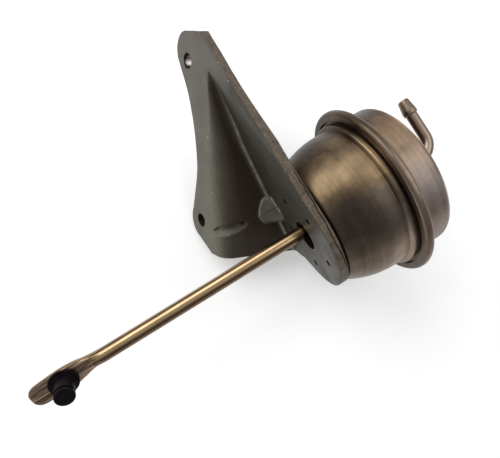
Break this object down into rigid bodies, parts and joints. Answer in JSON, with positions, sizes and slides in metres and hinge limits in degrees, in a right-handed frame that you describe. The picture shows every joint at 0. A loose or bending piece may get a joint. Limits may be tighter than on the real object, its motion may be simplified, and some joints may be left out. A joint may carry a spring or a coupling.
{
  "type": "wastegate actuator",
  "caption": "Diaphragm actuator on a bent pressed-steel bracket: a spring can with a crimped cover and hose nipple moves a long rod with a flattened, pinned end.",
  "frame": {"origin": "on the back of the bracket's bolting plate, between its two bolt holes and 9 mm in from the line through them", "axes": "+X runs along the rod from the pin to the hose nipple; +Y runs along the bracket towards its upper ear; +Z is square to both, towards the pin's free end"},
  "size_m": [0.1991, 0.1406, 0.087],
  "materials": {
    "bracket_steel": "dull grey-green steel with handling marks",
    "plated_can": "satin, golden brown, with fine drawing lines",
    "plated_cover": "satin, golden to pinkish grey",
    "plated_tube": "satin golden brown",
    "bush_bronze": "plain sintered bronze",
    "seal_rubber": "matt black",
    "inner_steel": "plain",
    "spring_steel": "plain",
    "diaphragm_rubber": "matt black",
    "rod_steel": "polished golden steel",
    "pin_steel": "blackened, satin"
  },
  "bodies": {
    "housing": {"bracket": "bracket_steel", "spring_can": "plated_can", "cover_can": "plated_cover", "hose_nipple": "plated_tube", "guide_bush": "bush_bronze", "wiper_seal": "seal_rubber", "bush_housing": "inner_steel", "spring_seat": "inner_steel", "return_spring": "spring_steel", "diaphragm": "diaphragm_rubber"},
    "rod": {"actuator_rod": "rod_steel", "pivot_pin": "pin_steel", "piston": "inner_steel", "shoulder_washer": "inner_steel", "diaphragm_retainer": "inner_steel", "head_washer": "inner_steel"}
  },
  "joints": [
    {"name": "rod_slide", "type": "slide", "parent": "housing", "child": "rod", "axis": [-1, 0, 0], "range_m": [0, 0.012], "stiffness_N_per_m": 6000, "springref_m": -0.012, "deforming": ["return_spring", "diaphragm"]}
  ]
}
